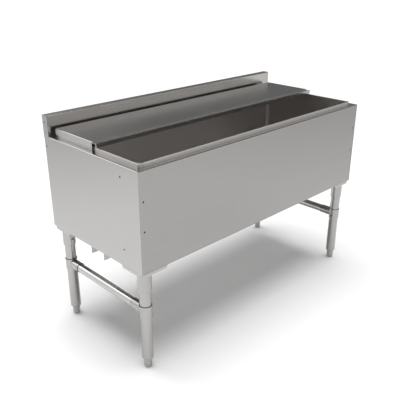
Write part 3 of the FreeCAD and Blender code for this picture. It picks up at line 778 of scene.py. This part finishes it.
@dataclass
class LegStand:
    """Four legs with their corner plates, sockets, clamp tees, rails and feet, in millimetres.

    Outlines hold the radius and the height of each ring. The foot's shoulder and stem tip are measured
    from its top, and the plug's outline from the tube's lower end.
    """

    foot_height: float = 36.0
    foot_nose: tuple[tuple[float, float], ...] = (
        (10.0, 0.0), (11.6, 0.4), (12.8, 1.4), (13.5, 3.0), (13.85, 5.2), (14.0, 8.0), (14.25, 18.0))
    foot_shoulder: tuple[tuple[float, float], ...] = (
        (14.7, -1.8), (14.55, -0.7), (13.9, -0.1), (7.2, 0.0), (6.2, 0.1))
    stem_thread: tuple[float, float] = (1.0, 53.0)
    stem_crest: float = 6.25
    stem_root: float = 5.3
    stem_pitch: float = 2.0
    stem_tip: tuple[tuple[float, float], ...] = ((5.6, 54.2), (4.6, 55.0))
    foot_sides: int = 40
    plug_outline: tuple[tuple[float, float], ...] = (
        (7.0, -6.0), (15.8, -6.0), (17.2, -5.6), (18.8, -4.4), (20.0, -2.8), (20.55, -1.2), (20.6, -0.4),
        (20.3, 0.0), (19.05, 0.0), (19.05, 29.2), (18.3, 30.0), (7.0, 30.0), (6.35, 29.4), (6.35, -5.4),
        (7.0, -6.0))
    leg_ring: tuple[float, float] = (22.7, 20.72)
    rail_ring: tuple[float, float] = (18.8, 17.06)
    ring_height: float = 1.3
    ring_round: float = 0.9
    ring_edge: float = 0.3
    tube_sides: int = 44
    set_radius: float = 3.9
    set_rise: float = 28.0
    tee_set_rise: float = 13.0
    set_sink: float = 0.8
    set_outline: tuple[tuple[float, float], ...] = ((-0.4, -1.0), (0.0, -0.6), (0.0, 1.4), (-0.5, 1.9))
    set_top: float = 1.5
    key_radius: float = 2.6
    key_depth: float = 1.5
    set_sides: int = 24
    screw_flats: float = 11.0
    screw_height: float = 4.5
    screw_reach: float = 90.0
    screw_edge: float = 13.0
    screw_turn: float = 0.4
    washer_outline: tuple[tuple[float, float], ...] = ((1.6, 0.0), (1.6, 0.8), (0.9, 1.3))
    washer_sides: int = 30
    head_bevel: tuple[float, float] = (0.7, 0.45)
    head_dish: tuple[float, float] = (1.4, -0.25)
    head_angle: float = 25.0
    bead_radius: float = 1.7
    bead_drop: float = 0.9
    bead_ripple: float = 0.25
    bead_rings: tuple[int, int] = (96, 8)
    bead_angle: float = 60.0
    bead_seed: int = 3
    made: list[bpy.types.Object] = field(default_factory=list)

    def build(self) -> list[bpy.types.Object]:
        """Make every small fitting of the legs.

        Returns:
            The pieces.
        """
        self.feet()
        self.plugs()
        self.rings()
        self.set_screws()
        self.plate_screws()
        self.welds()
        return self.made

    def feet(self) -> None:
        """Bullet feet with a rounded nose and a threaded stem."""
        top = self.foot_height
        start, end = (top + rise for rise in self.stem_thread)
        outline = list(self.foot_nose)
        outline += [(radius, top + rise) for radius, rise in self.foot_shoulder]
        outline += threaded(start, end, self.stem_crest, self.stem_root, self.stem_pitch)
        outline += [(radius, top + rise) for radius, rise in self.stem_tip]
        pattern = turned("foot", outline, self.foot_sides)
        for corner in CORNERS:
            x, y = axis_of("foot_" + corner)
            piece = set_copy(pattern, "bullet_foot_" + corner, Matrix.Translation((x, y, 0.0)))
            self.made.append(fit(piece, "foot_" + corner, "foot_steel", TURNED_STEEL, "foot_" + corner))
        discard(pattern)

    def plugs(self) -> None:
        """End plugs with a rounded lip under each leg tube."""
        pattern = turned("plug", self.plug_outline, self.tube_sides, hollow=True)
        for corner in CORNERS:
            x, y = axis_of("leg_" + corner)
            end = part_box("leg_" + corner)[0].z
            piece = set_copy(pattern, "tube_end_" + corner, Matrix.Translation((x, y, end)))
            self.made.append(fit(piece, "cabinet", "foot_steel", TURNED_STEEL, "leg_plug_" + corner))
        discard(pattern)

    def rings(self) -> None:
        """Dark seat rings where each leg and each rail enters its tee: partly a rubber seat, partly painted
        shade in the gap of the joint.
        """
        patterns = [self.ring("leg_ring", *self.leg_ring), self.ring("rail_ring", *self.rail_ring)]
        rail_low, rail_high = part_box("rail_left")
        rail_height = (rail_low.z + rail_high.z) / 2
        for corner, (_, sy) in CORNERS.items():
            low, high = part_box("tee_" + corner)
            x, y = axis_of("leg_" + corner)
            upright = Matrix.Translation((x, y, high.z))
            end = low.y if sy > 0 else high.y
            level = Matrix.Translation((x, end, rail_height))
            level @= Matrix.Rotation(math.radians(90 * sy), 4, "X")
            for pattern, place in zip(patterns, (upright, level)):
                piece = set_copy(pattern, f"{pattern.name}_{corner}", place)
                # Painted shade: near-black rings stand for the shadow gap where tube meets tee.
                self.made.append(fit(piece, "cabinet", "seal_rubber", SEAL_RUBBER_AND_JOINT_SHADE))
        for pattern in patterns:
            discard(pattern)

    def ring(self, name: str, outer: float, inner: float) -> bpy.types.Object:
        """One seat ring, rounded on top.

        Args:
            name: The ring's name.
            outer: Outer radius in millimetres.
            inner: Bore radius.

        Returns:
            The ring.
        """
        top, edge, round_off = self.ring_height, self.ring_edge, self.ring_round
        outline = [(inner, 0.0), (outer, 0.0), (outer, top - round_off), (outer - edge, top - edge),
                   (outer - round_off, top), (inner, top), (inner, 0.0)]
        return turned(name, outline, self.tube_sides, hollow=True)

    def set_screws(self) -> None:
        """Recessed set screws, in the sockets and the tees."""
        pattern = self.recessed_screw()
        for corner, (sx, sy) in CORNERS.items():
            x, y = axis_of("leg_" + corner)
            socket_low, socket_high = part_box("socket_" + corner)
            reach = (socket_high.x - socket_low.x) / 2 - self.set_sink * MM
            place = Matrix.Translation((x, y - sy * reach, socket_low.z + self.set_rise * MM))
            place @= Matrix.Rotation(math.radians(90 * sy), 4, "X")
            piece = set_copy(pattern, "socket_screw_" + corner, place)
            self.made.append(fit(piece, "cabinet", "frame_steel", BLACK_OXIDE_AND_HOLE_SHADE))
            tee_low, tee_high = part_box("tee_" + corner)
            reach = (tee_high.x - tee_low.x) / 2 - self.set_sink * MM
            place = Matrix.Translation((x - sx * reach, y, tee_low.z + self.tee_set_rise * MM))
            place @= Matrix.Rotation(math.radians(-90 * sx), 4, "Y")
            piece = set_copy(pattern, "tee_screw_" + corner, place)
            self.made.append(fit(piece, "cabinet", "frame_steel", BLACK_OXIDE_AND_HOLE_SHADE))
        discard(pattern)

    def recessed_screw(self) -> bpy.types.Object:
        """A short round screw with its recess upwards.

        Returns:
            The pattern, standing on the world's floor.
        """
        outline = [(self.set_radius + step, height) for step, height in self.set_outline]
        pattern = turned("set_screw", outline, self.set_sides)
        bpy.context.view_layer.objects.active = pattern
        bpy.ops.object.mode_set(mode="EDIT")
        select_faces(pattern, lambda face: face.normal.z > UPWARD and face.center.z > self.set_top * MM)
        bpy.ops.mesh.inset(thickness=(self.set_radius - self.key_radius) * MM, depth=0.0)
        bpy.ops.mesh.extrude_region_move(TRANSFORM_OT_translate={"value": (0.0, 0.0, -self.key_depth * MM)})
        bpy.ops.object.mode_set(mode="OBJECT")
        return pattern

    def plate_screws(self) -> None:
        """Flanged hexagon screws that hold the corner plates."""
        pattern = self.hexagon_screw()
        places = ((self.screw_reach, self.screw_edge), (self.screw_edge, self.screw_reach))
        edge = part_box("right_end_panel")[1]
        for corner, (sx, sy) in CORNERS.items():
            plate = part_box("socket_" + corner)[1].z
            for number, (in_x, in_y) in enumerate(places, 1):
                spot = Vector((sx * (edge.x - in_x * MM), sy * (edge.y - in_y * MM), plate))
                turn = Matrix.Rotation(math.radians(180), 4, "X")
                turn @= Matrix.Rotation(self.screw_turn * number, 4, "Z")
                piece = set_copy(pattern, f"plate_screw_{corner}{number}", Matrix.Translation(spot) @ turn)
                self.made.append(fit(piece, "cabinet", "frame_steel", SCREW_STEEL))
        discard(pattern)

    def hexagon_screw(self) -> bpy.types.Object:
        """A hexagon head with a washer flange and bevelled corners.

        Returns:
            The pattern, head upwards.
        """
        reach = self.screw_flats / math.sqrt(3)
        outline = [(reach + step, height) for step, height in self.washer_outline]
        washer = turned("washer", outline, self.washer_sides)
        bevel, crown = self.head_bevel
        border, dish = self.head_dish
        rest()
        bpy.ops.mesh.primitive_cylinder_add(vertices=6, radius=reach * MM, depth=self.screw_height * MM,
                                            location=(0, 0, self.screw_height / 2 * MM))
        head = bpy.context.object
        bpy.ops.object.transform_apply(location=True)
        bpy.ops.object.mode_set(mode="EDIT")
        select_faces(head, lambda face: face.normal.z > UPWARD)
        bpy.ops.mesh.inset(thickness=bevel * MM, depth=0.0)
        bpy.ops.transform.translate(value=(0.0, 0.0, crown * MM))
        bpy.ops.mesh.inset(thickness=border * MM, depth=dish * MM)
        bpy.ops.object.mode_set(mode="OBJECT")
        washer.select_set(True)
        head.select_set(True)
        bpy.context.view_layer.objects.active = head
        bpy.ops.object.join()
        return finish_piece(head, "hexagon_screw", self.head_angle)

    def welds(self) -> None:
        """Rippled beads between the sockets and their plates."""
        around, across = self.bead_rings
        for number, corner in enumerate(CORNERS):
            low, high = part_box("socket_" + corner)
            x, y = axis_of("socket_" + corner)
            rest()
            bpy.ops.mesh.primitive_torus_add(major_segments=around, minor_segments=across,
                                             major_radius=(high.x - low.x) / 2,
                                             minor_radius=self.bead_radius * MM,
                                             location=(x, y, high.z - self.bead_drop * MM))
            bead = bpy.context.object
            bpy.ops.object.transform_apply(location=True)
            bpy.ops.object.mode_set(mode="EDIT")
            bpy.ops.mesh.select_all(action="SELECT")
            bpy.ops.transform.vertex_random(offset=self.bead_ripple * MM, seed=number + self.bead_seed)
            bpy.ops.object.mode_set(mode="OBJECT")
            bead = finish_piece(bead, "weld_bead_" + corner, self.bead_angle)
            self.made.append(fit(bead, "cabinet", "frame_steel", WELD_STEEL))

    def finish(self) -> None:
        """Dress the tubes, plates, sockets and tees."""
        for corner in CORNERS:
            dress(MILL_STEEL, "gusset_" + corner)
            dress(TUBE_UPRIGHT, "socket_" + corner, "leg_" + corner, "tee_" + corner)
            dress(TURNED_STEEL, "leg_plug_" + corner, "foot_" + corner)
        dress(TUBE_DEPTH, "rail_left", "rail_right")


@dataclass
class SlidingCover:
    """The cover over the bin's rear half, with its pull, brackets and glides."""

    sheets: tuple[str, ...] = ("cover_pan", "cover_pull")
    frames: tuple[str, ...] = ("cover_stiffener", "glide_bracket_left", "glide_bracket_right")
    runners: tuple[str, ...] = ("glide_left", "glide_right")

    def finish(self) -> None:
        """Dress the cover's parts."""
        dress(COVER_STEEL, *self.sheets)
        dress(MILL_LENGTH, *self.frames)
        dress(GLIDE_PLASTIC, *self.runners)


# --- studio ---
@dataclass(frozen=True)
class Lamp:
    """A broad soft light from far away, with its spread in degrees."""

    name: str
    source: tuple[float, float, float]
    spread: float
    strength: float

    def hang(self) -> None:
        """Put the lamp in the scene, shining from its source to the floor's middle."""
        data = bpy.data.lights.new(self.name, "SUN")
        data.angle = math.radians(self.spread)
        data.energy = self.strength
        lamp = bpy.data.objects.new(self.name, data)
        lamp.location = self.source
        lamp.rotation_euler = (-Vector(self.source)).to_track_quat("-Z", "Y").to_euler()
        bpy.context.scene.collection.objects.link(lamp)


@dataclass
class Studio:
    """White floor, soft light and a calm surround.

    Tones are places from zero to one and their grey levels: over the floor's painted pool of light from its
    reach to its centre, round the walls from the left side through the front, the right and the rear, and
    up the roof.
    """

    floor_size: float = 60.0
    # Painted pool of light: the floor's colour rises from its reach to its centre.
    light_pool_tones: tuple[tuple[float, float], ...] = ((0.0, 0.82), (1.0, 0.97))
    light_pool_falloff: float = 2.0
    floor_roughness: float = 0.9
    light_pool_centre: tuple[float, float, float] = (-1.3, 0.2, 0.0)
    light_pool_reach: float = 4.8
    floor_lift: float = 0.03
    # Painted shade: darker floor patches, placed where metal faces reflect the floor.
    painted_shade_patches: tuple[tuple[tuple[float, float, float], float], ...] = (
        ((4.0, -2.6, 0.0), 3.4), ((-2.2, 3.4, 0.0), 2.6))
    painted_shade_tone: float = 0.5
    lamps: tuple[Lamp, ...] = (Lamp("overhead", (0.1, 0.0, 4.0), 48.0, 2.95),)
    wall_tones: tuple[tuple[float, float], ...] = (
        (0.0, 0.3), (0.10, 0.4), (0.17, 0.3), (0.27, 0.3), (0.32, 0.6), (0.37, 0.6), (0.42, 0.45),
        (0.5, 0.28), (0.585, 0.16), (0.64, 0.17), (0.67, 0.28), (0.74, 0.7), (0.80, 1.2), (0.86, 1.2),
        (0.91, 0.7), (1.0, 0.3))
    wall_top: tuple[float, float] = (0.40, 0.62)
    roof_tones: tuple[tuple[float, float], ...] = ((0.0, 0.15), (0.6, 0.13), (1.0, 0.2))
    screen_side: tuple[float, float, float] = (-0.219, 0.819, 0.530)
    screen_edge: tuple[float, float] = (0.93, 0.97)
    screen_tone: float = 2.3

    def build(self) -> None:
        """Make the floor, the surround and the lamps."""
        self.floor()
        self.surround()
        for lamp in self.lamps:
            lamp.hang()

    def floor(self) -> None:
        """A wide white floor that keeps the shadow, with a painted pool of light round its centre and two
        painted shade patches off to both sides of the camera's view.
        """
        rest()
        bpy.ops.mesh.primitive_plane_add(size=self.floor_size, location=(0.0, 0.0, 0.0))
        plane = bpy.context.object
        plane.name = "floor"
        made, bench, shader = open_material("studio_floor")
        place = bench.add("ShaderNodeTexCoord").outputs["Object"]
        # Painted pool of light on the floor, brighter towards its centre.
        near = self.nearness(bench, place, self.light_pool_centre, self.light_pool_reach)
        tone = self.tones(bench, bench.math("POWER", near, self.light_pool_falloff), self.light_pool_tones)
        # Painted shade: the floor turns darker in each patch.
        for centre, reach in self.painted_shade_patches:
            tone = bench.mix(self.nearness(bench, place, centre, reach), tone, (self.painted_shade_tone,) * 3)
        bench.link(tone, shader.inputs["Base Color"])
        shader.inputs["Roughness"].default_value = self.floor_roughness
        shader.inputs["Specular IOR Level"].default_value = 0.0
        shader.inputs["Emission Color"].default_value = (1.0, 1.0, 1.0, 1.0)
        seen = background_rays(bench)
        bench.link(bench.math("MULTIPLY", seen, self.floor_lift), shader.inputs["Emission Strength"])
        plane.data.materials.append(made)
        rest()

    @staticmethod
    def nearness(bench: Bench, place: bpy.types.NodeSocket, centre: tuple[float, float, float],
                 reach: float) -> bpy.types.NodeSocket:
        """How near a place lies to a centre.

        Args:
            bench: The tree.
            place: Place on the floor.
            centre: The centre.
            reach: Distance where it ends.

        Returns:
            One at the centre and zero from the reach on.
        """
        away = bench.add("ShaderNodeVectorMath", operation="DISTANCE")
        bench.link(place, away.inputs[0])
        away.inputs[1].default_value = centre
        return bench.spread(away.outputs["Value"], reach, 0.0)

    def surround(self) -> None:
        """White where the camera looks past the floor, and the room for light and reflections."""
        world = bpy.data.worlds.new("studio")
        world.use_nodes = True
        bpy.context.scene.world = world
        bench = Bench(world.node_tree)
        world.node_tree.nodes.clear()
        room, white = bench.add("ShaderNodeBackground"), bench.add("ShaderNodeBackground")
        bench.link(self.room(bench), room.inputs["Color"])
        white.inputs["Color"].default_value = (1.0, 1.0, 1.0, 1.0)
        blend = bench.add("ShaderNodeMixShader")
        bench.link(bench.add("ShaderNodeLightPath").outputs["Is Camera Ray"], blend.inputs["Fac"])
        bench.link(room.outputs["Background"], blend.inputs[1])
        bench.link(white.outputs["Background"], blend.inputs[2])
        bench.link(blend.outputs["Shader"], bench.add("ShaderNodeOutputWorld").inputs["Surface"])

    def room(self, bench: Bench) -> bpy.types.NodeSocket:
        """Walls of several tones, a dim roof and a pale screen high up behind the rear.

        Args:
            bench: The world's tree.

        Returns:
            The room's colour in each direction.
        """
        place = bench.add("ShaderNodeTexCoord").outputs["Generated"]
        height = bench.add("ShaderNodeSeparateXYZ")
        bench.link(place, height.inputs["Vector"])
        around = bench.math("ARCTAN2", height.outputs["Y"], height.outputs["X"])
        walls = self.tones(bench, bench.spread(around, -math.pi, math.pi), self.wall_tones)
        roof = self.tones(bench, height.outputs["Z"], self.roof_tones)
        rise = bench.spread(height.outputs["Z"], *self.wall_top)
        toward = bench.add("ShaderNodeVectorMath", operation="DOT_PRODUCT")
        bench.link(place, toward.inputs[0])
        toward.inputs[1].default_value = self.screen_side
        screen = bench.spread(toward.outputs["Value"], *self.screen_edge)
        return bench.mix(screen, bench.mix(rise, walls, roof), (self.screen_tone,) * 3)

    @staticmethod
    def tones(bench: Bench, value: bpy.types.NodeSocket, stops: tuple[tuple[float, float], ...]
              ) -> bpy.types.NodeSocket:
        """Grey levels along a value.

        Args:
            bench: The tree.
            value: Zero to one.
            stops: Place and grey level of each stop.

        Returns:
            The grey colour.
        """
        ramp = bench.add("ShaderNodeValToRGB")
        bench.link(value, ramp.inputs["Fac"])
        made = ramp.color_ramp.elements
        made[0].position, made[1].position = stops[0][0], stops[-1][0]
        for place, _ in stops[1:-1]:
            made.new(place)
        for stop, (_, tone) in zip(made, stops):
            stop.color = (tone, tone, tone, 1.0)
        return ramp.outputs["Color"]


def background_rays(bench: Bench) -> bpy.types.NodeSocket:
    """One for rays that come from the camera, a mirror or glass.

    Args:
        bench: The tree that uses it.

    Returns:
        The value.
    """
    path = bench.add("ShaderNodeLightPath")
    either = bench.math("MAXIMUM", path.outputs["Is Camera Ray"], path.outputs["Is Glossy Ray"])
    return bench.math("MAXIMUM", either, path.outputs["Is Transmission Ray"])


@dataclass(frozen=True)
class Viewpoint:
    """The camera, in metres and degrees, with its lens and sensor in millimetres."""

    place: tuple[float, float, float] = (-1.54493, -1.48385, 1.31587)
    azimuth: float = -44.443
    elevation: float = 23.179
    roll: float = 0.006
    lens: float = 49.663
    sensor: float = 36.0
    far_clip: float = 100.0

    def build(self) -> None:
        """Set the camera at the photograph's angle."""
        data = bpy.data.cameras.new("camera")
        data.lens = self.lens
        data.sensor_width = self.sensor
        data.clip_end = self.far_clip
        camera = bpy.data.objects.new("camera", data)
        a, e = math.radians(self.azimuth), math.radians(self.elevation)
        back = Vector((math.sin(a) * math.cos(e), -math.cos(a) * math.cos(e), math.sin(e)))
        right = Vector((math.cos(a), math.sin(a), 0.0))
        up = back.cross(right)
        turn = Matrix((right, up, back)).transposed() @ Matrix.Rotation(math.radians(self.roll), 3, "Z")
        camera.matrix_world = Matrix.Translation(self.place) @ turn.to_4x4()
        bpy.context.scene.collection.objects.link(camera)
        bpy.context.scene.camera = camera


def report(pieces: Iterable[bpy.types.Object]) -> None:
    """Log each new piece with its faces."""
    for piece in pieces:
        LOG.info("%s: %d faces", piece.name, len(piece.data.polygons))


def main() -> None:
    """Build and dress the ice bin."""
    logging.basicConfig(level=logging.INFO, format="%(name)s: %(message)s")
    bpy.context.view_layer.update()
    bpy.context.scene.view_settings.view_transform = "Standard"
    Viewpoint().build()
    Studio().build()
    cabinet, ice_bin, legs, cover = Cabinet(), IceBin(), LegStand(), SlidingCover()
    for part in (cabinet, ice_bin, legs):
        report(part.build())
    for part in (cabinet, ice_bin, legs, cover):
        part.finish()
        LOG.info("%s dressed", type(part).__name__)


if __name__ == "__main__":
    main()
